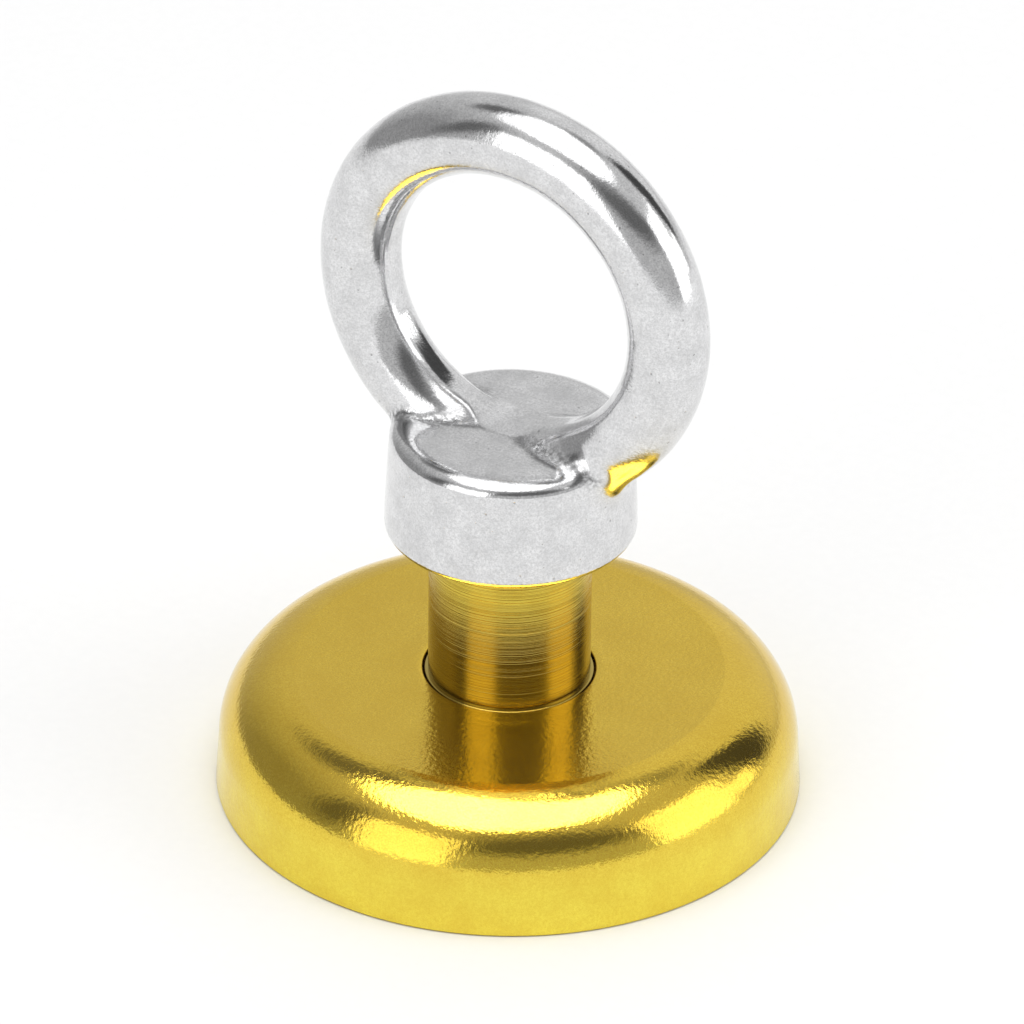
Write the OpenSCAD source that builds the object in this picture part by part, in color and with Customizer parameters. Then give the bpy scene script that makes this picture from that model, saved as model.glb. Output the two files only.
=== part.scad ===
// Pot magnet for magnet fishing, with a screwed-in eye bolt.
// The origin is on the axis, at the level of the cup's rim. +Z runs up the neck to the ring.
// The ring lies in the XZ plane, so its hole runs along Y.

/* [Cup] */
// Outside diameter of the cup at its rim
cup_d = 36; // [34:0.5:38]
// Height of the cup from its rim to the top of its plate
cup_h = 7.9; // [7.6:0.1:8.4]
// Radius of the rounded shoulder
shoulder_r = 4.8; // [4:0.1:5.2]
// Slope of the outer wall, in degrees from upright
wall_draft = 3; // [1:0.5:4]
// Thickness of the rim's wall, measured at the rim
wall_t = 3; // [2.6:0.1:3.4]
// Thickness of the plate above the magnet
plate_t = 3.3; // [3:0.1:3.6]

/* [Magnet and resin] */
// Width of the resin ring between the magnet and the wall
resin_gap = 1; // [0.6:0.1:1.4]
// Thickness of the glue film above the magnet
film_t = 0.1; // [0.05:0.05:0.2]
// How far the magnet's face lies above the rim
magnet_recess = 0.25; // [0.15:0.05:0.4]
// Bevel round the magnet's two edges
magnet_bevel = 0.3; // [0.2:0.05:0.5]

/* [Bush] */
// Height of the bush's top above the rim, where the collar seats
seat_z = 18; // [17:0.5:20]
// Diameter of the neck
neck_d = 9.96; // [9.6:0.02:10.2]
// Diameter of the land that locates the bush in the plate
land_d = 10.4; // [10.3:0.02:10.5]
// Gap all round between the land and the plate's hole
land_gap = 0.12; // [0.08:0.01:0.16]
// How far the land's top lies below the plate's top
land_sink = 0.06; // [0.02:0.01:0.12]
// Diameter of the flange under the plate
flange_d = 13; // [12.5:0.1:14]
// Thickness of the flange
flange_t = 1.2; // [1:0.1:1.5]

/* [Eye bolt] */
// Diameter of the hole through the ring, where a line or hook goes
eye_hole_d = 16.7; // [15.5:0.1:17]
// Diameter of the ring's round section
ring_section_d = 4.96; // [4.9:0.02:5.1]
// Depth of the flat land on the inside of the ring
inner_land_depth = 0.08; // [0.04:0.01:0.12]
// Height of the ring's centre above the seat
ring_rise = 16; // [15.6:0.1:16.4]
// Diameter of the collar
collar_d = 15.4; // [14.6:0.1:15.6]
// Height of the collar
collar_h = 7.2; // [6.8:0.1:7.4]
// Radius round the collar's top edge
collar_top_r = 1.5; // [1:0.1:1.8]
// Radius round the collar's lower edge
collar_foot_r = 0.5; // [0.3:0.1:0.8]

/* [Thread] */
// Length of the shank below the collar
shank_l = 12; // [10:0.5:12.5]
// Pitch diameter of the thread, where the plain shank and bore stand
pitch_d = 5.35; // [5.3:0.01:5.4]
// Gap all round between the shank and the bore
thread_gap = 0.05; // [0.03:0.01:0.08]
// Bevel at the shank's end and at the bore's mouth
lead_in = 0.6; // [0.4:0.1:0.8]

/* [Hidden] */
$fn = 96;

// A length that reaches past whatever it cuts
past = 1;
cup_r = cup_d / 2;
cavity_r = cup_r - wall_t;
plate_z = cup_h - plate_t;

// The shoulder's arc starts where the sloping wall touches it
shoulder_z = cup_h - shoulder_r;
touch_z = shoulder_z + shoulder_r * sin(wall_draft);
touch_r = cup_r - touch_z * tan(wall_draft);
shoulder_x = touch_r - shoulder_r * cos(wall_draft);

hole_r = land_d / 2 + land_gap;
hole_bevel = 0.08;
recess_r = flange_d / 2 + land_gap;

magnet_r = cavity_r - resin_gap;
magnet_top_z = plate_z - film_t;
// The resin sinks in a shallow hollow between the rim and the magnet
resin_z = 0.45;
hollow_depth = 0.2;
hollow_r = (resin_gap * resin_gap / 4 + hollow_depth * hollow_depth) / (2 * hollow_depth);

bore_r = pitch_d / 2 + thread_gap;
land_edge = 0.08;
neck_edge = 0.2;

ring_z = seat_z + ring_rise;
section_r = ring_section_d / 2;
ring_r = eye_hole_d / 2 + section_r - inner_land_depth;

// A round-cornered half profile, from the axis out to radius r and from z = 0 up to h
module edged_disc_profile(r, h, top_r, foot_r) {
    square([r - top_r, h]);
    translate([0, foot_r]) square([r, h - top_r - foot_r]);
    square([r - foot_r, h - top_r]);
    translate([r - top_r, h - top_r]) circle(top_r);
    translate([r - foot_r, foot_r]) circle(foot_r);
}

// The cup's outline without its hollows: sloping wall, shoulder arc and flat plate
module cup_outline() {
    polygon([[0, 0], [cup_r, 0], [touch_r, touch_z], [shoulder_x, cup_h], [0, cup_h]]);
    intersection() {
        translate([shoulder_x, shoulder_z]) circle(shoulder_r);
        square([cup_r, cup_h + past]);
    }
}

// Steel cup: hollow below for the magnet, a recess for the bush's flange, and a hole for its land
module pot_cup() {
    color("gold")
    difference() {
        rotate_extrude() cup_outline();
        translate([0, 0, -past]) cylinder(r = cavity_r, h = plate_z + past);
        translate([0, 0, plate_z - past]) cylinder(r = recess_r, h = flange_t + past);
        cylinder(r = hole_r, h = cup_h + past);
        translate([0, 0, cup_h - hole_bevel])
            cylinder(r1 = hole_r, r2 = hole_r + hole_bevel + past, h = hole_bevel + past);
    }
}

// Turned bush: flange under the plate, land in the plate's hole, neck above, threaded through
module neck_bush() {
    color("goldenrod")
    difference() {
        union() {
            translate([0, 0, plate_z]) cylinder(d = flange_d, h = flange_t);
            translate([0, 0, plate_z]) cylinder(d = land_d, h = cup_h - land_sink - land_edge - plate_z);
            translate([0, 0, cup_h - land_sink - land_edge])
                cylinder(d1 = land_d, d2 = land_d - 2 * land_edge, h = land_edge);
            translate([0, 0, plate_z]) cylinder(d = neck_d, h = seat_z - neck_edge - plate_z);
            translate([0, 0, seat_z - neck_edge])
                cylinder(d1 = neck_d, d2 = neck_d - 2 * neck_edge, h = neck_edge);
        }
        translate([0, 0, plate_z - past]) cylinder(r = bore_r, h = seat_z - plate_z + 2 * past);
        translate([0, 0, seat_z - lead_in])
            cylinder(r1 = bore_r, r2 = bore_r + lead_in + past, h = lead_in + past);
    }
}

// Neodymium disc with bevelled edges, its face just inside the rim
module magnet_disc() {
    color("silver")
    rotate_extrude()
        polygon([
            [0, magnet_recess],
            [magnet_r - magnet_bevel, magnet_recess],
            [magnet_r, magnet_recess + magnet_bevel],
            [magnet_r, magnet_top_z - magnet_bevel],
            [magnet_r - magnet_bevel, magnet_top_z],
            [0, magnet_top_z]
        ]);
}

// Film of glue that bonds the magnet's flat top to the plate and to the bush's flange
module glue_film() {
    color("khaki")
    translate([0, 0, magnet_top_z]) cylinder(r = magnet_r - magnet_bevel, h = film_t);
}

// Resin ring cast between the magnet and the wall, with a hollowed face
module resin_ring() {
    color("dimgray")
    difference() {
        translate([0, 0, resin_z]) cylinder(r = cavity_r, h = plate_z - resin_z);
        cylinder(r = magnet_r, h = cup_h);
        rotate_extrude()
            translate([magnet_r + resin_gap / 2, resin_z + hollow_depth - hollow_r]) circle(hollow_r);
    }
}

// Ring of round section with a flat land inside, standing in the XZ plane
module eye_ring() {
    translate([0, 0, ring_z]) rotate([90, 0, 0])
        rotate_extrude()
            intersection() {
                translate([ring_r, 0]) circle(section_r);
                translate([eye_hole_d / 2, -section_r - past])
                    square([2 * section_r + past, 2 * (section_r + past)]);
            }
}

// Cast eye bolt: ring, collar and shank in one piece
module eye_bolt() {
    color("gainsboro")
    union() {
        eye_ring();
        translate([0, 0, seat_z])
            rotate_extrude() edged_disc_profile(collar_d / 2, collar_h, collar_top_r, collar_foot_r);
        translate([0, 0, seat_z - shank_l + lead_in])
            cylinder(d = pitch_d, h = shank_l - lead_in + collar_h / 2);
        translate([0, 0, seat_z - shank_l])
            cylinder(d1 = pitch_d - 2 * lead_in, d2 = pitch_d, h = lead_in);
    }
}

pot_cup();
neck_bush();
magnet_disc();
glue_film();
resin_ring();
eye_bolt();
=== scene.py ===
"""Small pot magnet for magnet fishing: a gold-plated cup and bush with a cast stainless eye bolt.

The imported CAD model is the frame. Lengths are in millimetres until a mesh is made, in the frame's axes:
the origin is on the axis at the cup's rim, +Z runs up to the ring, and the ring's hole runs along Y.
"""

import math

import bpy
import numpy as np
from mathutils import Matrix, Vector


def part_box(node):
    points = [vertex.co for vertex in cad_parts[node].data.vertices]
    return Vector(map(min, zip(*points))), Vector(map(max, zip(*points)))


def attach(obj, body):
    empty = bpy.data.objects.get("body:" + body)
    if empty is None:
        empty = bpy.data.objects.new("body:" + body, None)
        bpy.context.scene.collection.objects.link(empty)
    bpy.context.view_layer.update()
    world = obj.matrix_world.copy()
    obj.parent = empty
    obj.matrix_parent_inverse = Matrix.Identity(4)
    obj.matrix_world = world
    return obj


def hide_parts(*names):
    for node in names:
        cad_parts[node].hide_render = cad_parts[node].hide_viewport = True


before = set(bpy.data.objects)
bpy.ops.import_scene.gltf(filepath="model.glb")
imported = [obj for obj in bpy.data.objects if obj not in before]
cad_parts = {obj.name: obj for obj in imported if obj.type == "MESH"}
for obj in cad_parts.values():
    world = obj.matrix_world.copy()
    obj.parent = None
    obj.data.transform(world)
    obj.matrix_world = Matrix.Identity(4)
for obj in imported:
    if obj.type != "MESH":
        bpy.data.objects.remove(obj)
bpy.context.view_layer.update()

MM = 0.001


def node_box(node):
    """The lowest and the highest corner of a CAD node, in mm."""
    low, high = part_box(node)
    return np.array(low) / MM, np.array(high) / MM


# ---------------------------------------------------------------- sizes

CUP_HIGH = node_box("pot_cup")[1]
BUSH_HIGH = node_box("neck_bush")[1]
MAGNET_LOW, MAGNET_HIGH = node_box("magnet_disc")
RESIN_LOW, RESIN_HIGH = node_box("resin_ring")
EYE_LOW, EYE_HIGH = node_box("eye_bolt")

# Cup
CUP_R = CUP_HIGH[0]
CUP_H = CUP_HIGH[2]
PLATE_Z = RESIN_HIGH[2]
CAVITY_R = RESIN_HIGH[0]
SHOULDER_R = 4.8
WALL_DRAFT = math.radians(3)
HOLE_R = 5.32

# Bush
SEAT_Z = BUSH_HIGH[2]
FLANGE_R = BUSH_HIGH[0]
FLANGE_T = 1.2
LAND_R = 5.2
LAND_SINK = 0.06
NECK_R = 4.98
RECESS_R = FLANGE_R + HOLE_R - LAND_R

# Eye bolt. A round is its reach along the radius and along Z.
SECTION_R = 2.48
RING_TOP = EYE_HIGH[2]
RING_R = EYE_HIGH[0] - SECTION_R
RING_Z = RING_TOP - SECTION_R - RING_R
EYE_HOLE_R = 8.35
COLLAR_R = EYE_HIGH[1]
COLLAR_TOP_Z = SEAT_Z + 7.2
COLLAR_TOP_ROUND = (1.5, 1.0)
COLLAR_FOOT_ROUND = (0.6, 0.6)
COLLAR_DRAFT = 0.05
COLLAR_DRAFT_FROM = 1.5
MOUND_H = 0.2
MOUND_HALF = (4.2, 3.2)
HOLE_DIP = 0.45
HOLE_DIP_HALF = 2.0
FILLET = 0.6
WIDE_FILLET = 1.5

# Thread, right-hand, on the shank and in the bush
PITCH = 1.0
THREAD_DEPTH = 0.54
SHANK_CREST_R = 2.95
BORE_CREST_R = 2.5
LEAD_IN = 0.6

# Turning marks along the neck
MARK_SPACING = 0.18
MARK_SHIFT = 0.03
MARK_HALF = 0.05
MARK_DEPTH = 0.006

# Unevenness of the surfaces, as layers: half the depth and the size in mm, and a seed
CUP_RIPPLE = ((0.010, 2.6, 11), (0.004, 1.1, 12))
CASTING_WAVES = ((0.02, 3.1, 21), (0.008, 1.1, 22))
FOOT_DIRT = ((0.01, 0.6, 23),)

AROUND = 240
SHARP_ANGLE = math.radians(40)


# ---------------------------------------------------------------- mesh tools

def line(start, end, step):
    """Points from start up to, but without, end, at most step apart."""
    start, end = np.array(start, float), np.array(end, float)
    count = max(1, math.ceil(np.linalg.norm(end - start) / step))
    return [tuple(start + (end - start) * i / count) for i in range(count)]


def arc(centre, radius, first, last, count):
    """Points of an arc from angle first up to, but without, last, in degrees from the r axis."""
    angles = [math.radians(first + (last - first) * i / count) for i in range(count)]
    return [(centre[0] + radius * math.cos(a), centre[1] + radius * math.sin(a)) for a in angles]


def ramp(value, start, end):
    """0 up to start, 1 from end on, and in proportion between them."""
    return np.clip((value - start) / (end - start), 0, 1)


def smooth_noise(points, size, seed):
    """Seeded lattice noise from -1 to 1 that varies over about size mm."""
    lattice = 32
    values = np.random.default_rng(seed).uniform(-1, 1, (lattice, lattice, lattice))
    scaled = np.asarray(points) / size
    cell = np.floor(scaled).astype(int)
    blend = scaled - cell
    blend = blend * blend * (3 - 2 * blend)
    total = np.zeros(len(scaled))
    for corner in np.ndindex(2, 2, 2):
        index = (cell + corner) % lattice
        weight = np.prod(np.where(corner, blend, 1 - blend), axis=1)
        total += weight * values[index[:, 0], index[:, 1], index[:, 2]]
    return total


def inward(points, layers):
    """Depth in mm, zero or less, of seeded unevenness laid over points."""
    return sum(half_depth * (smooth_noise(points, size, seed) - 1) for half_depth, size, seed in layers)


def make_mesh(name, points, faces):
    """A mesh from points in mm and faces that all have the same number of corners, facing outwards."""
    points = np.asarray(points, float)
    faces = np.asarray(faces)
    corner = points[faces]
    volume = np.einsum("ij,ij->i", corner[:, 0], np.cross(corner[:, 1], corner[:, 2])).sum()
    if volume < 0:
        faces = faces[:, ::-1]
    mesh = bpy.data.meshes.new(name)
    mesh.from_pydata((points * MM).tolist(), [], faces.tolist())
    mesh.update()
    return mesh


def show(mesh):
    """An object with the mesh and its name, smooth except along sharp edges."""
    mesh.polygons.foreach_set("use_smooth", [True] * len(mesh.polygons))
    mesh.set_sharp_from_angle(angle=SHARP_ANGLE)
    piece = bpy.data.objects.new(mesh.name, mesh)
    bpy.context.scene.collection.objects.link(piece)
    return piece


def turned_points(radii, heights):
    """Points of rings round the axis. radii and heights have one row for each ring."""
    angles = np.linspace(0, 2 * math.pi, radii.shape[1], endpoint=False)
    return np.stack([radii * np.cos(angles), radii * np.sin(angles), heights], axis=-1).reshape(-1, 3)


def turned_faces(rings, around, closed):
    """Quads between neighbouring rings. closed joins the last ring to the first."""
    ring = np.arange(rings if closed else rings - 1)[:, None]
    step = np.arange(around)[None, :]
    following = (ring + 1) % rings
    beside = (step + 1) % around
    low = ring * around
    high = following * around
    corners = [low + step, low + beside, high + beside, high + step]
    return np.stack(np.broadcast_arrays(*corners), axis=-1).reshape(-1, 4)


def capped_mesh(name, radii, heights):
    """A closed mesh of triangles from rings that run up the axis, with a flat fan over each end."""
    rings, around = radii.shape
    points = turned_points(radii, heights)
    below, above = len(points), len(points) + 1
    points = np.vstack([points, [0, 0, heights[0, 0]], [0, 0, heights[-1, 0]]])
    quads = turned_faces(rings, around, closed=False)
    step = np.arange(around)
    beside = (step + 1) % around
    last = (rings - 1) * around
    low_cap = np.stack([beside, step, np.full(around, below)], axis=-1)
    high_cap = np.stack([last + step, last + beside, np.full(around, above)], axis=-1)
    split = np.concatenate([quads[:, [0, 1, 2]], quads[:, [0, 2, 3]]])
    return make_mesh(name, points, np.concatenate([split, low_cap, high_cap]))


def turn_outline(outline, around=AROUND):
    """Arrays of radii and heights, a row for each point of an outline."""
    rings = np.array(outline)
    return np.repeat(rings[:, :1], around, axis=1), np.repeat(rings[:, 1:], around, axis=1)


def thread_radius(angles, heights, crest_r, inside):
    """Radius of a metric thread's surface. inside is for the bore, whose crests point at the axis."""
    # Half the width of the crest's flat and of the root's, as shares of the pitch
    crest_half, root_half = 1 / 16, 1 / 8
    turn = (heights / PITCH - angles / (2 * math.pi)) % 1.0
    if inside:
        turn = (turn + 0.5) % 1.0
    from_crest = np.abs(turn - 0.5)
    depth = np.clip((0.5 - root_half - from_crest) / (0.5 - root_half - crest_half), 0, 1)
    if inside:
        return crest_r + THREAD_DEPTH * (1 - depth)
    return crest_r - THREAD_DEPTH * (1 - depth)


# ---------------------------------------------------------------- cup

def cup_outline():
    """Half outline of the cup, anticlockwise from the rim's inner edge."""
    rim_round = 0.18
    hole_round = 0.08
    crease = 5
    shoulder_z = CUP_H - SHOULDER_R
    touch_z = shoulder_z + SHOULDER_R * math.sin(WALL_DRAFT)
    touch_r = CUP_R - touch_z * math.tan(WALL_DRAFT)
    shoulder_x = touch_r - SHOULDER_R * math.cos(WALL_DRAFT)
    draft = math.degrees(WALL_DRAFT)
    recess_z = PLATE_Z + FLANGE_T
    flat_r = shoulder_x + SHOULDER_R * math.tan(math.radians(crease / 2))
    return (
        arc((CAVITY_R + rim_round, rim_round), rim_round, 180, 270, 6)
        + line((CAVITY_R + rim_round, 0), (CUP_R - rim_round, 0), 0.4)
        + arc((CUP_R - rim_round, rim_round), rim_round, 270, 360 + draft, 8)
        + line((CUP_R - rim_round * math.tan(WALL_DRAFT), rim_round), (touch_r, touch_z), 0.25)
        + arc((shoulder_x, shoulder_z), SHOULDER_R, draft, 90 - crease, 36)
        + [(flat_r + 0.05, CUP_H - 0.05 * math.tan(math.radians(crease))), (flat_r, CUP_H)]
        + line((flat_r - 0.05, CUP_H), (HOLE_R + hole_round, CUP_H), 0.35)
        + arc((HOLE_R + hole_round, CUP_H - hole_round), hole_round, 90, 180, 5)
        + line((HOLE_R, CUP_H - hole_round), (HOLE_R, recess_z), 0.4)
        + line((HOLE_R, recess_z), (RECESS_R, recess_z), 0.5)
        + line((RECESS_R, recess_z), (RECESS_R, PLATE_Z), 0.5)
        + line((RECESS_R, PLATE_Z), (CAVITY_R, PLATE_Z), 1.0)
        + line((CAVITY_R, PLATE_Z), (CAVITY_R, rim_round), 0.6)
    )


def make_cup():
    """The cup, its plated outside rippled by a few hundredths of a millimetre."""
    around = 320
    radii, heights = turn_outline(cup_outline(), around)
    points = turned_points(radii, heights)
    from_axis = np.hypot(points[:, 0], points[:, 1])
    # The ripple fades out towards the rim and the hole, and leaves the inner faces alone
    outside = ramp(points[:, 2], 1.0, 3.0)
    outside *= ramp(from_axis, HOLE_R + 0.5, HOLE_R + 1.5)
    outside *= (from_axis > CAVITY_R + 0.5) | (points[:, 2] > CUP_H - 1.0)
    centre = np.array([0.0, 0.0, CUP_H - SHOULDER_R])
    outward = points - centre
    outward /= np.linalg.norm(outward, axis=1, keepdims=True)
    points += outward * (inward(points, CUP_RIPPLE) * outside)[:, None]
    return make_mesh("gold_cup", points, turned_faces(*radii.shape, closed=True))


# ---------------------------------------------------------------- bush

def tool_marks(heights):
    """Depth in mm of the turning marks along the neck: fine feed marks, deeper in its upper part."""
    places = np.random.default_rng(31)
    depth = np.zeros(len(heights))
    for centre in np.arange(CUP_H, SEAT_Z - 0.4, MARK_SPACING):
        spot = centre + places.uniform(-MARK_SHIFT, MARK_SHIFT)
        upper = max(0.6, ramp(centre, CUP_H + 4.0, CUP_H + 7.0))
        deep = places.uniform(0.15, 1.0) * MARK_DEPTH * upper
        depth += deep * np.exp(-(((heights - spot) / MARK_HALF) ** 2))
    return depth


def make_bush():
    """The bush: flange, land and ringed neck outside, thread inside."""
    edge = 0.2
    land_edge = 0.08
    land_z = CUP_H - LAND_SINK
    neck_line = line((NECK_R, land_z), (NECK_R, SEAT_Z - edge), 0.05)
    neck_heights = np.array([z for _, z in neck_line])
    cut = tool_marks(neck_heights)
    neck = [(r - depth, z) for (r, z), depth in zip(neck_line, cut)]
    outside = (
        line((BORE_CREST_R + LEAD_IN, PLATE_Z), (FLANGE_R - 0.1, PLATE_Z), 0.8)
        + [(FLANGE_R, PLATE_Z + 0.1), (FLANGE_R, PLATE_Z + FLANGE_T - 0.1)]
        + [(FLANGE_R - 0.1, PLATE_Z + FLANGE_T), (LAND_R, PLATE_Z + FLANGE_T)]
        + line((LAND_R, PLATE_Z + FLANGE_T + 0.01), (LAND_R, land_z - land_edge), 0.5)
        + arc((LAND_R - land_edge, land_z - land_edge), land_edge, 0, 90, 5)
        + [(LAND_R - land_edge, land_z)]
        + neck
        + arc((NECK_R - edge, SEAT_Z - edge), edge, 0, 90, 8)
        + line((NECK_R - edge, SEAT_Z), (BORE_CREST_R + LEAD_IN, SEAT_Z), 0.5)
    )
    around = 160
    radii, heights = turn_outline(outside, around)
    bore_heights = np.linspace(SEAT_Z, PLATE_Z, 200)
    angles = np.linspace(0, 2 * math.pi, around, endpoint=False)
    bore_z = np.repeat(bore_heights[:, None], around, axis=1)
    bore_r = thread_radius(angles[None, :], bore_z, BORE_CREST_R, inside=True)
    mouth = np.minimum(SEAT_Z - bore_z, bore_z - PLATE_Z)
    bore_r = np.maximum(bore_r, BORE_CREST_R + LEAD_IN - mouth)
    radii = np.concatenate([radii, bore_r[:-1]])
    heights = np.concatenate([heights, bore_z[:-1]])
    return make_mesh("gold_bush", turned_points(radii, heights), turned_faces(*radii.shape, closed=True))


# ---------------------------------------------------------------- magnet and resin

def make_magnet():
    """The neodymium disc, its edges rounded by tumbling before it was plated."""
    radius, low, high = MAGNET_HIGH[0], MAGNET_LOW[2], MAGNET_HIGH[2]
    edge = 0.3
    outline = (
        line((1.0, low), (radius - edge, low), 1.0)
        + arc((radius - edge, low + edge), edge, 270, 360, 8)
        + line((radius, low + edge), (radius, high - edge), 0.5)
        + arc((radius - edge, high - edge), edge, 0, 90, 8)
        + line((radius - edge, high), (0, high), 1.0)
    )
    return capped_mesh("nickel_magnet", *turn_outline(outline))


def make_resin():
    """The resin cast round the magnet, its free face drawn down between the two walls and uneven."""
    inner_r, outer_r = MAGNET_HIGH[0], RESIN_HIGH[0]
    low, high = RESIN_LOW[2], RESIN_HIGH[2]
    hollow = 0.2
    unevenness = 0.08
    width = outer_r - inner_r
    free_face = []
    for i in range(17):
        across = i / 16
        free_face.append((inner_r + width * across, low + hollow * 4 * across * (1 - across)))
    outline = (
        free_face
        + line((outer_r, low + 0.3), (outer_r, high), 0.6)
        + line((outer_r, high), (inner_r, high), 0.3)
        + line((inner_r, high), (inner_r, low + 0.3), 0.6)
    )
    radii, heights = turn_outline(outline)
    points = turned_points(radii, heights)
    from_axis = np.hypot(points[:, 0], points[:, 1])
    across = ramp(from_axis, inner_r, outer_r)
    free = (points[:, 2] < low + 0.25) * 4 * across * (1 - across)
    points[:, 2] += unevenness * free * smooth_noise(points, 1.7, 41)
    return make_mesh("resin_ring_cast", points, turned_faces(*radii.shape, closed=True))


# ---------------------------------------------------------------- eye bolt

def smooth_union(a, b, reach):
    """Union of two distances with a fillet where they are within reach of each other."""
    near = np.maximum(reach - np.abs(a - b), 0) / reach
    return np.minimum(a, b) - near * near * reach / 4


def ring_distance(p):
    """Distance to the ring: a round bar with a flat land inside, and a dip at the foot of the hole."""
    land_edge = 0.08
    across = np.hypot(p[:, 0], p[:, 2] - RING_Z)
    bar = np.hypot(across - RING_R, p[:, 1]) - SECTION_R
    dip = HOLE_DIP * np.exp(-((p[:, 0] / HOLE_DIP_HALF) ** 4)) * (p[:, 2] < RING_Z)
    return -smooth_union(-bar, across - EYE_HOLE_R - dip, land_edge)


def collar_distance(p):
    """Distance to the collar: a disc with a cast taper, rounded edges and a low mound on its top."""
    middle = (SEAT_Z + COLLAR_TOP_Z) / 2
    above = p[:, 2] > middle
    round_r = np.where(above, COLLAR_TOP_ROUND[0], COLLAR_FOOT_ROUND[0])
    round_z = np.where(above, COLLAR_TOP_ROUND[1], COLLAR_FOOT_ROUND[1])
    mound = MOUND_H * np.exp(-((p[:, 0] / MOUND_HALF[0]) ** 4) - (p[:, 1] / MOUND_HALF[1]) ** 2)
    height = np.where(above, p[:, 2] - mound, p[:, 2])
    taper = COLLAR_DRAFT * np.maximum(p[:, 2] - SEAT_Z - COLLAR_DRAFT_FROM, 0)
    out_r = np.hypot(p[:, 0], p[:, 1]) - COLLAR_R + taper + round_r
    out_z = np.abs(height - middle) - (COLLAR_TOP_Z - SEAT_Z) / 2 + round_z
    along, up = np.maximum(out_r, 1e-9), np.maximum(out_z, 1e-9)
    reach = np.hypot(along / round_r, up / round_z)
    outside = reach * (reach - 1) / np.hypot(along / round_r**2, up / round_z**2)
    inside = np.maximum(out_r - round_r, out_z - round_z)
    return np.where((out_r > 0) | (out_z > 0), outside, inside)


def head_distance(p):
    """Distance to the ring and collar, joined by the casting's fillet, which is wider on one leg."""
    side = ramp(p[:, 0], 0.5, 3.5)
    reach = FILLET + (WIDE_FILLET - FILLET) * side
    return smooth_union(ring_distance(p), collar_distance(p), reach)


def slope(distance, p):
    """Unit normals of a distance field."""
    step = 0.002
    change = [distance(p + axis) - distance(p - axis) for axis in np.eye(3) * step]
    normal = np.stack(change, axis=-1)
    return normal / np.linalg.norm(normal, axis=1, keepdims=True)


def edge_ends(axis, others):
    """Indexes of the two ends of a grid's edges along an axis, with others for the other two axes."""
    near, far = [others] * 3, [others] * 3
    near[axis] = slice(0, -1)
    far[axis] = slice(1, None)
    return tuple(near), tuple(far)


def surface_points(grid, value, pitch):
    """A point in each cell that the zero surface crosses, and each cell's point number, or -1.

    A cell's point is the mean of the places where the surface crosses the cell's edges.
    """
    inside = value < 0
    cells = tuple(count - 1 for count in value.shape)
    crossed = np.zeros(cells, bool)
    total = np.zeros(cells + (3,))
    found = np.zeros(cells)
    for axis in range(3):
        side_a, side_b = [other for other in range(3) if other != axis]
        near, far = edge_ends(axis, slice(None))
        cut = inside[near] != inside[far]
        share = np.where(cut, value[near] / np.where(cut, value[near] - value[far], 1), 0)
        place = grid[near].copy()
        place[..., axis] += share * pitch
        for shift_a, shift_b in np.ndindex(2, 2):
            part = [slice(None)] * 3
            part[side_a] = slice(shift_a, cells[side_a] + shift_a)
            part[side_b] = slice(shift_b, cells[side_b] + shift_b)
            here = cut[tuple(part)]
            crossed |= here
            found += here
            total += place[tuple(part)] * here[..., None]
    number = np.full(cells, -1)
    number[crossed] = np.arange(crossed.sum())
    return total[crossed] / found[crossed][:, None], number


def surface_quads(inside, number):
    """A quad round each grid edge that crosses the surface, between the four cells that share it."""
    quads = []
    for axis in range(3):
        side_a, side_b = [(1, 2), (2, 0), (0, 1)][axis]
        near, far = edge_ends(axis, slice(1, -1))
        rising = inside[near] & ~inside[far]
        falling = ~inside[near] & inside[far]
        for chosen, order in ((rising, (0, 1, 2, 3)), (falling, (3, 2, 1, 0))):
            place = np.argwhere(chosen)
            place[:, side_a] += 1
            place[:, side_b] += 1
            ring = []
            for shift_a, shift_b in ((-1, -1), (0, -1), (0, 0), (-1, 0)):
                cell = place.copy()
                cell[:, side_a] += shift_a
                cell[:, side_b] += shift_b
                ring.append(number[tuple(cell.T)])
            quads.append(np.stack([ring[i] for i in order], axis=-1))
    return np.concatenate(quads)


def surface_net(distance, low, high, pitch):
    """Points and quads of a distance field's zero surface, found on a grid from low to high."""
    counts = np.ceil((high - low) / pitch).astype(int) + 1
    axes = [low[i] + pitch * np.arange(counts[i]) for i in range(3)]
    grid = np.stack(np.meshgrid(*axes, indexing="ij"), axis=-1)
    value = distance(grid.reshape(-1, 3)).reshape(counts)
    points, number = surface_points(grid, value, pitch)
    return points, surface_quads(value < 0, number)


def head_points_and_quads():
    """The ring and collar as one smooth casting."""
    pitch = 0.165
    room = 0.5
    low = np.array([EYE_LOW[0], EYE_LOW[1], SEAT_Z]) - room
    high = EYE_HIGH + room
    points, quads = surface_net(head_distance, low, high, pitch)
    # The points are drawn onto the true surface, then pushed in by the casting's unevenness
    for _ in range(5):
        points -= slope(head_distance, points) * head_distance(points)[:, None]
    normals = slope(head_distance, points)
    above_seat = ramp(points[:, 2], SEAT_Z + 0.3, SEAT_Z + 0.9)
    unevenness = inward(points, CASTING_WAVES) + crevice(points) * inward(points, FOOT_DIRT)
    points += normals * (unevenness * above_seat)[:, None]
    return points, quads


def crevice(p):
    """From 0 on open metal to 1 in the corners where the ring's two legs leave the collar's top."""
    width = 0.8
    apart = np.abs(ring_distance(p) - collar_distance(p))
    beside_middle = ramp(np.abs(p[:, 0]), 1.2, 3.2)
    above_side = ramp(p[:, 2], COLLAR_TOP_Z - 1.2, COLLAR_TOP_Z - 0.6)
    return (1 - ramp(apart, 0, width)) * beside_middle * above_side


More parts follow.
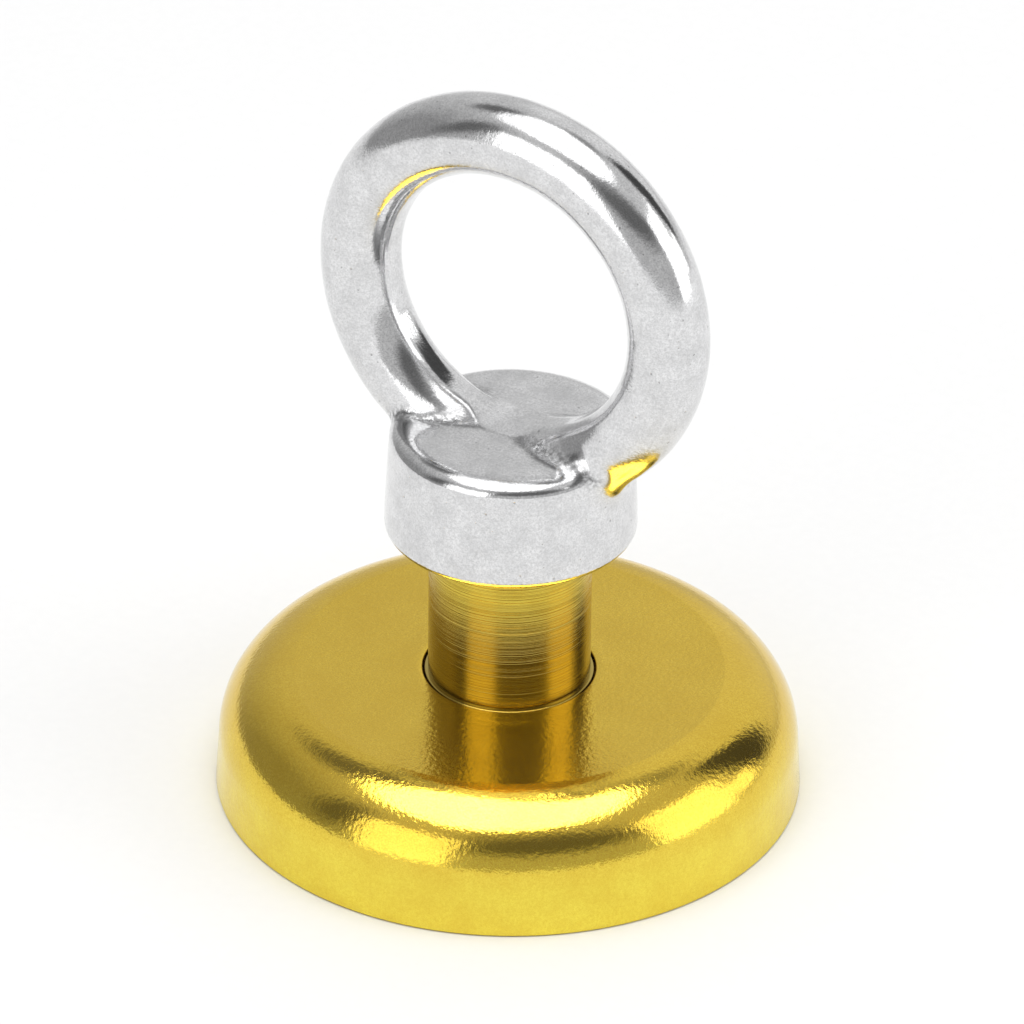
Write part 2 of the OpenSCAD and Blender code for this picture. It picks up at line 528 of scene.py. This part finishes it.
def shank_mesh():
    """The threaded shank as a closed mesh, which runs a little way up inside the collar."""
    around = 112
    neck_r = SHANK_CREST_R - THREAD_DEPTH - 0.02
    bottom = EYE_LOW[2]
    run_out = SEAT_Z - 0.7
    levels = np.linspace(bottom, run_out + 0.3, 200)
    angles = np.linspace(0, 2 * math.pi, around, endpoint=False)
    heights = np.repeat(levels[:, None], around, axis=1)
    radii = thread_radius(angles[None, :], heights, SHANK_CREST_R, inside=False)
    point_r = SHANK_CREST_R - LEAD_IN + (heights - bottom)
    runout_r = neck_r + np.maximum(run_out - heights, 0) * 1.2
    radii = np.minimum(np.minimum(radii, point_r), np.maximum(runout_r, neck_r))
    radii = np.vstack([radii, np.full((1, around), neck_r)])
    heights = np.vstack([heights, np.full((1, around), SEAT_Z + 1.0)])
    return capped_mesh("shank", radii, heights)


def joined(name, body, extra):
    """One closed mesh from two that overlap."""
    first = bpy.data.objects.new(name, body)
    second = bpy.data.objects.new(name + "_extra", extra)
    for piece in (first, second):
        bpy.context.scene.collection.objects.link(piece)
    union = first.modifiers.new("union", "BOOLEAN")
    union.operation = "UNION"
    union.solver = "MANIFOLD"
    union.object = second
    bpy.context.view_layer.update()
    evaluated = first.evaluated_get(bpy.context.evaluated_depsgraph_get())
    mesh = bpy.data.meshes.new_from_object(evaluated)
    for piece in (first, second):
        bpy.data.objects.remove(piece)
    return mesh


def make_eye_bolt():
    """The cast eye bolt, with a crevice value on its points for the material."""
    mesh = joined("eye", make_mesh("head", *head_points_and_quads()), shank_mesh())
    mesh.name = "steel_eye_bolt"
    points = np.zeros(len(mesh.vertices) * 3)
    mesh.vertices.foreach_get("co", points)
    values = crevice(points.reshape(-1, 3) / MM)
    mesh.attributes.new("crevice", "FLOAT", "POINT").data.foreach_set("value", values)
    return mesh


# ---------------------------------------------------------------- materials

class Nodes:
    """Adds nodes to a tree. An input is a number, a colour or another node's output."""

    def __init__(self, tree):
        self.tree = tree
        tree.nodes.clear()

    def add(self, kind, inputs=None, **settings):
        """A new shader node, with inputs on its sockets and settings on its properties."""
        node = self.tree.nodes.new("ShaderNode" + kind)
        for name, value in settings.items():
            setattr(node, name, value)
        for socket, value in (inputs or {}).items():
            if isinstance(value, bpy.types.NodeSocket):
                self.tree.links.new(value, node.inputs[socket])
            else:
                node.inputs[socket].default_value = value
        return node

    def math(self, operation, a, b=0.0):
        """The result of a sum, product or other operation on a and b."""
        return self.add("Math", {0: a, 1: b}, operation=operation).outputs[0]

    def ranged(self, value, low, high, to_low, to_high):
        """The value, carried from between low and high to between to_low and to_high, and held there."""
        sockets = {"Value": value, "From Min": low, "From Max": high, "To Min": to_low, "To Max": to_high}
        return self.add("MapRange", sockets).outputs["Result"]

    def noise(self, where, size_mm, detail=2.0):
        """Noise from 0 to 1 over about size_mm."""
        inputs = {"Vector": where, "Scale": 1 / (size_mm * MM), "Detail": detail}
        return self.add("TexNoise", inputs).outputs["Fac"]

    def stretched(self, where, sizes_mm, turn=(0, 0, 0)):
        """Coordinates that vary over sizes_mm along three axes turned by turn."""
        turned = self.add("Mapping", {"Vector": where, "Rotation": turn}).outputs[0]
        scale = [1 / (size * MM) for size in sizes_mm]
        return self.add("Mapping", {"Vector": turned, "Scale": scale}).outputs[0]

    def height_noise(self, height, size_mm, detail):
        """Noise from 0 to 1 that varies only with height, over about size_mm."""
        scaled = self.math("MULTIPLY", height, 1 / (size_mm * MM))
        inputs = {"W": scaled, "Scale": 1.0, "Detail": detail}
        return self.add("TexNoise", inputs, noise_dimensions="1D").outputs["Fac"]

    def part(self, vector, axis):
        """The X, Y or Z of a vector."""
        return self.add("SeparateXYZ", {0: vector}).outputs[axis]

    def mix(self, share, a, b):
        """Colour a at share 0, colour b at share 1."""
        sockets = {0: share, 6: a, 7: b}
        return self.add("Mix", sockets, data_type="RGBA").outputs[2]

    def bump(self, height, depth_mm, normal=None):
        """The normal, or the surface's own, tilted as if height 1 stood depth_mm above height 0."""
        inputs = {"Height": height, "Distance": depth_mm * MM, "Strength": 1.0}
        if normal is not None:
            inputs["Normal"] = normal
        return self.add("Bump", inputs).outputs[0]

    def finish(self, inputs):
        """Ends a material with a shader that has these inputs."""
        shader = self.add("BsdfPrincipled", inputs)
        output = self.add("OutputMaterial")
        self.tree.links.new(shader.outputs[0], output.inputs["Surface"])

    def finish_metal(self, colour, rough, normal, coat=None):
        """Ends a metal's material, bare or with a clear coat."""
        inputs = {"Base Color": colour, "Metallic": 1.0, "Roughness": rough, "Normal": normal}
        self.finish({**inputs, **(coat or {})})


def new_material(name):
    """A material and its nodes, with none in it yet."""
    material = bpy.data.materials.new(name)
    material.use_nodes = True
    return material, Nodes(material.node_tree)


def scratches(nodes, where, width_mm, length_mm, turn, rarity):
    """Fine straight scratches, 1 on a scratch and 0 off it."""
    stretched = nodes.stretched(where, (width_mm, length_mm, length_mm), (0, 0, turn))
    lines = nodes.add("TexNoise", {"Vector": stretched, "Scale": 1.0, "Detail": 0.0}).outputs["Fac"]
    return nodes.ranged(lines, rarity, rarity + 0.03, 0.0, 1.0)


GOLD = (0.825, 0.595, 0.078, 1)
GOLD_DEEP = (0.66, 0.43, 0.04, 1)
# Painted light: a paler gold that brightens the cup's lower wall
GOLD_WALL_PAINTED_LIGHT = (0.895, 0.765, 0.098, 1)
GOLD_NECK = (0.72, 0.56, 0.08, 1)
GOLD_NECK_DEEP = (0.6, 0.43, 0.052, 1)
# Painted shade: a darker gold for the neck's foot, where it meets the cup
GOLD_NECK_PAINTED_SHADE = (0.43, 0.33, 0.09, 1)
# Painted shade: a dark gold drawn along the lathe rings
GOLD_RING_PAINTED_SHADE = (0.3, 0.2, 0.03, 1)
PLATING_HAZE = {"Coat Weight": 0.12, "Coat Roughness": 0.5}
STEEL = (0.84, 0.84, 0.845, 1)
STEEL_DULL = (0.48, 0.48, 0.485, 1)
# Painted shade over the rough skin: a dark colour for the fillets at the ring's legs
CREVICE_SKIN_AND_SHADE = (0.15, 0.15, 0.15, 1)
PIT = (0.22, 0.22, 0.22, 1)
NICKEL = (0.62, 0.6, 0.56, 1)
NICKEL_DULL = (0.55, 0.53, 0.5, 1)
PAPER = (0.75, 0.75, 0.75, 1)
PAPER_FIBRE = (0.76, 0.76, 0.76, 1)


def plated_gold():
    """Bright plating on turned steel: rippled like orange peel on the shoulder, satin on the flat top,
    with painted light on the lower wall, which is coloured paler.
    """
    material, nodes = new_material("gold_plating")
    where = nodes.add("TexCoord").outputs["Object"]
    facing = nodes.part(nodes.add("TexCoord").outputs["Normal"], "Z")
    height = nodes.part(where, "Z")
    flat = nodes.ranged(facing, 0.97, 0.999, 0.0, 1.0)
    cloud = nodes.noise(where, 3.0)
    grain = nodes.noise(where, 0.1, 3.0)
    peel = nodes.noise(where, 0.3, 2.0)
    lines = nodes.math(
        "MAXIMUM",
        scratches(nodes, where, 0.05, 2.0, 0.5, 0.83),
        scratches(nodes, where, 0.04, 1.5, -0.9, 0.84),
    )
    # Painted light: the lower wall is coloured paler, so its reflection of the floor looks brighter
    wall = nodes.ranged(height, 3.0 * MM, 6.0 * MM, 1.0, 0.0)
    colour = nodes.mix(wall, GOLD, GOLD_WALL_PAINTED_LIGHT)
    colour = nodes.mix(nodes.ranged(cloud, 0.3, 0.7, 0.0, 0.35), colour, GOLD_DEEP)
    colour = nodes.mix(nodes.ranged(peel, 0.35, 0.7, 0.0, 0.25), colour, GOLD_DEEP)
    above_wall = nodes.ranged(wall, 0.0, 1.0, 1.0, 0.4)
    speckle = nodes.math("MULTIPLY", nodes.ranged(grain, 0.35, 0.7, 0.0, 0.95), above_wall)
    colour = nodes.mix(speckle, colour, GOLD_DEEP)
    satin = nodes.math("MULTIPLY", flat, 0.03)
    rough = nodes.math("ADD", nodes.ranged(grain, 0.3, 0.75, 0.08, 0.16), satin)
    rough = nodes.math("ADD", rough, nodes.math("MULTIPLY", lines, 0.06))
    normal = nodes.bump(peel, 0.016)
    normal = nodes.bump(grain, 0.004, normal)
    normal = nodes.bump(lines, -0.0008, normal)
    nodes.finish_metal(colour, rough, normal, PLATING_HAZE)
    return material


def ringed_gold():
    """The same plating over the neck's fine lathe rings, with painted shade along the rings and towards
    the neck's foot.
    """
    material, nodes = new_material("gold_plating_turned")
    where = nodes.add("TexCoord").outputs["Object"]
    height = nodes.part(where, "Z")
    rings = nodes.height_noise(height, 0.07, 1.5)
    bands = nodes.height_noise(height, 0.9, 2.0)
    cloud = nodes.noise(where, 1.5)
    along = nodes.stretched(where, (1.6, 1.6, 0.05))
    streak = nodes.add("TexNoise", {"Vector": along, "Scale": 1.0, "Detail": 2.0}).outputs["Fac"]
    colour = nodes.mix(nodes.ranged(cloud, 0.3, 0.7, 0.0, 0.6), GOLD_NECK, GOLD_NECK_DEEP)
    # Painted shade: the neck darkens towards its foot, where it meets the cup
    colour = nodes.mix(nodes.ranged(height, 12.0 * MM, 15.5 * MM, 0.9, 0.0), colour, GOLD_NECK_PAINTED_SHADE)
    # Painted shade: the lathe rings are also drawn as darker lines, besides their bump
    colour = nodes.mix(nodes.ranged(rings, 0.4, 0.7, 0.0, 0.55), colour, GOLD_RING_PAINTED_SHADE)
    rough = nodes.ranged(streak, 0.3, 0.7, 0.1, 0.15)
    rough = nodes.math("ADD", rough, nodes.ranged(bands, 0.3, 0.7, 0.0, 0.05))
    normal = nodes.bump(rings, 0.012)
    normal = nodes.bump(streak, 0.001, normal)
    nodes.finish_metal(colour, rough, normal, PLATING_HAZE)
    return material


def cast_steel():
    """Polished stainless casting: fine satin grain, small pits, and a rough skin left in the fillets,
    coloured dark there as painted shade.
    """
    material, nodes = new_material("stainless_casting")
    where = nodes.add("TexCoord").outputs["Object"]
    fillet = nodes.add("Attribute", attribute_name="crevice").outputs["Fac"]
    grain = nodes.noise(where, 0.1, 3.0)
    peel = nodes.noise(where, 0.32, 2.0)
    cloud = nodes.noise(where, 1.3, 3.0)
    mottle = nodes.noise(where, 0.22, 3.0)
    skin = nodes.noise(where, 0.28, 3.0)
    pits = nodes.add("TexVoronoi", {"Vector": where, "Scale": 1 / (0.5 * MM), "Randomness": 1.0})
    chance = nodes.part(pits.outputs["Color"], "X")
    size = nodes.ranged(chance, 0.6, 1.0, 0.0, 0.16)
    hollow = nodes.math("LESS_THAN", pits.outputs["Distance"], size)
    # The rough skin in the fillets. It also carries the painted shade there
    dull = nodes.math("MULTIPLY", fillet, nodes.ranged(skin, 0.42, 0.58, 0.0, 1.0))
    colour = nodes.mix(nodes.ranged(cloud, 0.35, 0.7, 0.0, 0.35), STEEL, STEEL_DULL)
    colour = nodes.mix(nodes.ranged(mottle, 0.4, 0.7, 0.0, 0.4), colour, STEEL_DULL)
    colour = nodes.mix(nodes.ranged(grain, 0.4, 0.75, 0.0, 0.72), colour, STEEL_DULL)
    # Painted shade, over the rough casting skin: the fillets where the ring's legs leave the collar are
    # darkened
    colour = nodes.mix(nodes.math("MULTIPLY", dull, 0.75), colour, CREVICE_SKIN_AND_SHADE)
    colour = nodes.mix(nodes.math("MULTIPLY", hollow, 0.55), colour, PIT)
    rough = nodes.ranged(mottle, 0.3, 0.7, 0.06, 0.13)
    rough = nodes.math("ADD", rough, nodes.ranged(grain, 0.3, 0.7, 0.0, 0.04))
    rough = nodes.math("ADD", rough, nodes.math("MULTIPLY", dull, 0.2))
    normal = nodes.bump(peel, 0.006)
    normal = nodes.bump(grain, 0.004, normal)
    normal = nodes.bump(nodes.math("MULTIPLY", skin, fillet), 0.02, normal)
    normal = nodes.bump(hollow, -0.02, normal)
    nodes.finish_metal(colour, rough, normal)
    return material


def nickel():
    """Nickel plate on the magnet, with handling scratches."""
    material, nodes = new_material("nickel_plate")
    where = nodes.add("TexCoord").outputs["Object"]
    grain = nodes.noise(where, 0.12, 3.0)
    cloud = nodes.noise(where, 2.5)
    lines = nodes.math(
        "MAXIMUM",
        scratches(nodes, where, 0.06, 5.0, 0.3, 0.76),
        scratches(nodes, where, 0.05, 4.0, 1.4, 0.77),
    )
    colour = nodes.mix(nodes.ranged(cloud, 0.3, 0.7, 0.0, 0.5), NICKEL, NICKEL_DULL)
    rough = nodes.math("ADD", nodes.ranged(grain, 0.3, 0.7, 0.2, 0.3), nodes.math("MULTIPLY", lines, 0.2))
    normal = nodes.bump(grain, 0.003)
    normal = nodes.bump(lines, -0.004, normal)
    nodes.finish_metal(colour, rough, normal)
    return material


def resin(name, dark, light):
    """Cured resin: smooth and slightly dull, with cloudy patches and a few bubbles."""
    material, nodes = new_material(name)
    where = nodes.add("TexCoord").outputs["Object"]
    cloud = nodes.noise(where, 1.2)
    bubbles = nodes.add("TexVoronoi", {"Vector": where, "Scale": 1 / (0.9 * MM), "Randomness": 1.0})
    bubble = nodes.ranged(bubbles.outputs["Distance"], 0.05, 0.16, 1.0, 0.0)
    colour = nodes.mix(nodes.ranged(cloud, 0.3, 0.7, 0.0, 1.0), dark, light)
    rough = nodes.ranged(cloud, 0.3, 0.7, 0.28, 0.42)
    normal = nodes.bump(bubble, -0.04, nodes.bump(cloud, 0.03))
    nodes.finish({"Base Color": colour, "Roughness": rough, "Normal": normal})
    return material


def floor_material():
    """Plain pale matt paper."""
    material, nodes = new_material("pale_floor")
    where = nodes.add("TexCoord").outputs["Object"]
    fibre = nodes.noise(where, 0.8)
    colour = nodes.mix(nodes.ranged(fibre, 0.3, 0.7, 0.0, 1.0), PAPER, PAPER_FIBRE)
    nodes.finish({"Base Color": colour, "Roughness": 0.9, "Specular IOR Level": 0.2})
    return material


# ---------------------------------------------------------------- pieces

def place(mesh, material, body, node, slot):
    """Shows a mesh with a material as the looks of one CAD node."""
    piece = show(mesh)
    piece.data.materials.clear()
    piece.data.materials.append(material)
    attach(piece, body)
    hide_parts(node)
    return piece


gold_cup = place(make_cup(), plated_gold(), "pot", "pot_cup", "gold_plated_cup")
gold_bush = place(make_bush(), ringed_gold(), "pot", "neck_bush", "gold_plated_bush")
place(make_magnet(), nickel(), "pot", "magnet_disc", "nickel_plated_magnet")
dark_resin = resin("dark_resin", (0.02, 0.02, 0.022, 1), (0.035, 0.035, 0.04, 1))
place(make_resin(), dark_resin, "pot", "resin_ring", "dark_resin")
place(make_eye_bolt(), cast_steel(), "eye", "eye_bolt", "cast_stainless")

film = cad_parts["glue_film"]
film.data.materials.clear()
film.data.materials.append(resin("clear_glue", (0.55, 0.5, 0.38, 1), (0.68, 0.63, 0.5, 1)))


# ---------------------------------------------------------------- studio

# Camera, with angles in degrees and lengths in mm. Azimuth is from -Y towards +X.
CAMERA_AZIMUTH = 30.79
CAMERA_ELEVATION = 31.36
CAMERA_DISTANCE = 541.7
CAMERA_ROLL = 0.68
CAMERA_AIM = (0.05, 0.03, 18.92)
CAMERA_LENS = 314.2


def towards(azimuth, elevation):
    """Unit vector in the frame. Azimuth is from the camera's side, positive to its right."""
    a = math.radians(azimuth + CAMERA_AZIMUTH)
    e = math.radians(elevation)
    return np.array([math.sin(a) * math.cos(e), -math.cos(a) * math.cos(e), math.sin(e)])


def look_from(thing, place_mm, aim_mm, roll=0.0):
    """Puts a camera or lamp at a place and turns it to face aim."""
    back = (Vector(place_mm) - Vector(aim_mm)).normalized()
    turn = (-back).to_track_quat("-Z", "Y").to_matrix().to_4x4()
    thing.matrix_world = Matrix.Translation(Vector(place_mm) * MM) @ turn @ Matrix.Rotation(roll, 4, "Z")


def make_camera():
    """The camera, placed by the camera's values above."""
    data = bpy.data.cameras.new("camera")
    data.lens = CAMERA_LENS
    data.sensor_width = 36
    data.clip_start = 0.01
    data.clip_end = 20
    camera = bpy.data.objects.new("camera", data)
    bpy.context.scene.collection.objects.link(camera)
    aim = np.array(CAMERA_AIM)
    place_mm = aim + towards(0, CAMERA_ELEVATION) * CAMERA_DISTANCE
    look_from(camera, place_mm, aim, math.radians(CAMERA_ROLL))
    bpy.context.scene.camera = camera


def softbox(name, shape, direction, distance, size, radiance):
    """A soft lamp facing the object. direction is its azimuth and elevation, distance and size are in mm,
    and radiance is the lamp's own brightness, 1 being white."""
    width, height = size
    data = bpy.data.lights.new(name, "AREA")
    data.shape = shape
    data.size = width * MM
    data.size_y = height * MM
    fill = math.pi / 4 if shape == "ELLIPSE" else 1.0
    data.energy = radiance * math.pi * fill * width * height * MM * MM
    lamp = bpy.data.objects.new(name, data)
    lamp.visible_camera = False
    bpy.context.scene.collection.objects.link(lamp)
    aim = np.array([0, 0, CUP_H])
    look_from(lamp, aim + towards(*direction) * distance, aim)
    return lamp


def only_on(lamp, pieces):
    """Lets a lamp light the given pieces and nothing else."""
    lit = bpy.data.collections.new(lamp.name + "_lights")
    for piece in pieces:
        lit.objects.link(piece)
    lamp.light_linking.receiver_collection = lit


ROOM = (0.7, 0.7, 0.7, 1)
FAR_FLOOR = (0.745, 0.745, 0.745, 1)

# Grey and dark cards that the metal reflects, as ovals in degrees:
# azimuth, elevation, half width, half height, softness of the edge as a share of the size, brightness
STUDIO_CARDS = (
    (20, 10, 42, 40, 0.25, 0.57),  # wide and grey, in front
    (147, 30, 27, 27, 0.08, 0.86),  # pale, behind on the right
    (-102, 6, 42, 38, 0.4, 0.34),  # wide and dark, on the left
    (-73, 28, 9, 18, 0.4, 0.15),  # narrow and dark, on the left
    (-144, 57, 12, 12, 0.4, 0.16),  # small and dark, high behind on the left
    (8, 46, 22, 11, 0.4, 0.38),  # grey, high in front
    (18, 35, 34, 13, 0.35, 0.16),  # wide and dark, round the camera
    (120, 28, 11, 22, 0.15, 0.07),  # tall and nearly black, on the right
    (138, 61, 9, 9, 0.4, 0.33),  # small and grey, high behind on the right
)


def card_share(nodes, direction, azimuth, elevation, half_width, half_height, softness):
    """1 in the directions of an oval card, 0 off it, with a soft edge."""
    across = towards(azimuth + 90, 0) / math.sin(math.radians(half_width))
    up = towards(azimuth, elevation + 90) / math.sin(math.radians(half_height))
    ahead = towards(azimuth, elevation)
    x, y, z = [
        nodes.add("VectorMath", {0: direction, 1: tuple(axis)}, operation="DOT_PRODUCT").outputs["Value"]
        for axis in (across, up, ahead)
    ]
    square = nodes.math("ADD", nodes.math("MULTIPLY", x, x), nodes.math("MULTIPLY", y, y))
    reach = nodes.math("SQRT", square)
    inside = nodes.ranged(reach, 1 - softness, 1 + softness, 1.0, 0.0)
    return nodes.math("MULTIPLY", inside, nodes.math("GREATER_THAN", z, 0.0))


def make_world():
    """A pale room with grey and dark cards. The camera itself sees it in the tone of the far floor."""
    world = bpy.data.worlds.new("studio")
    world.use_nodes = True
    bpy.context.scene.world = world
    nodes = Nodes(world.node_tree)
    direction = nodes.add("TexCoord").outputs["Generated"]
    colour = ROOM
    for *card, brightness in STUDIO_CARDS:
        share = card_share(nodes, direction, *card)
        colour = nodes.mix(share, colour, (brightness, brightness, brightness, 1))
    seen = nodes.add("LightPath").outputs["Is Camera Ray"]
    colour = nodes.mix(seen, colour, FAR_FLOOR)
    background = nodes.add("Background", {"Color": colour, "Strength": 1.0})
    output = nodes.add("OutputWorld")
    nodes.tree.links.new(background.outputs[0], output.inputs["Surface"])


def make_floor():
    """A wide round floor at the level of the rim."""
    radius = 3000
    rings = [20, 60, 200, 600, radius]
    around = 96
    radii = np.repeat(np.array(rings, float)[:, None], around, axis=1)
    points = turned_points(radii, np.zeros_like(radii))
    centre = len(points)
    points = np.vstack([points, [0, 0, 0]])
    quads = turned_faces(len(rings), around, closed=False).tolist()
    fan = [[centre, i, (i + 1) % around] for i in range(around)]
    mesh = bpy.data.meshes.new("floor")
    mesh.from_pydata((points * MM).tolist(), [], quads + fan)
    mesh.materials.append(floor_material())
    floor = bpy.data.objects.new("floor", mesh)
    bpy.context.scene.collection.objects.link(floor)
    return floor


def make_floor_light(floor):
    """An even light on the floor alone, which keeps it white out to the picture's corners."""
    data = bpy.data.lights.new("floor_light", "SUN")
    data.angle = math.radians(60)
    data.energy = 1.35
    lamp = bpy.data.objects.new("floor_light", data)
    bpy.context.scene.collection.objects.link(lamp)
    only_on(lamp, [floor])


make_camera()
make_world()
make_floor_light(make_floor())
softbox("top_softbox", "ELLIPSE", (-20, 85), 600, (650, 650), 1.1)
softbox("left_softbox", "RECTANGLE", (-40, 20), 600, (400, 440), 1.22)
softbox("right_softbox", "RECTANGLE", (77, 20), 600, (400, 430), 1.35)
softbox("right_strip", "RECTANGLE", (103, 11), 600, (130, 170), 1.2)
gold_glow = softbox("gold_glow", "ELLIPSE", (-20, 85), 610, (660, 660), 4.6)
only_on(gold_glow, [gold_cup, gold_bush])
bpy.context.scene.view_settings.view_transform = "Standard"
